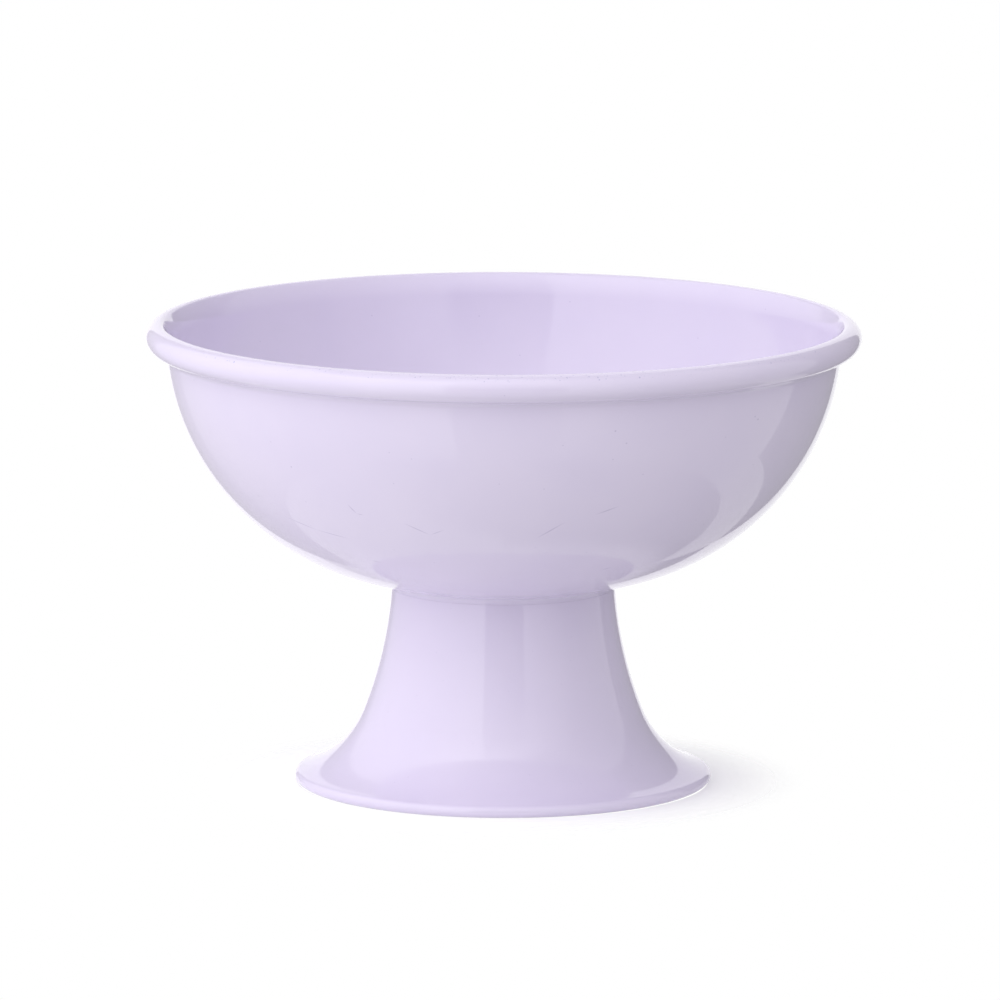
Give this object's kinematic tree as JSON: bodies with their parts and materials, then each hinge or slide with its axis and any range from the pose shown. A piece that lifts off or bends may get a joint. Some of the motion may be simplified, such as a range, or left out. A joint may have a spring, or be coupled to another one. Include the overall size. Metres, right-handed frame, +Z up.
{
  "type": "ice cream cup",
  "caption": "Footed ice cream cup: a deep round bowl with a beaded rim, bonded onto a hollow flared foot, in glossy lavender melamine.",
  "frame": {"origin": "centre of the ring the cup stands on, at table level", "axes": "+Z up along the axis the bowl and foot are turned about; +Y away from the viewer of the picture; +X to the viewer's right"},
  "size_m": [0.125, 0.125, 0.0812],
  "materials": {
    "melamine": "glossy compression moulding, pigmented pale lavender all through",
    "adhesive": "cured resin, slightly yellow and dull"
  },
  "bodies": {
    "root": {"bowl": "melamine", "foot": "melamine", "bond_ring": "adhesive"}
  },
  "joints": []
}
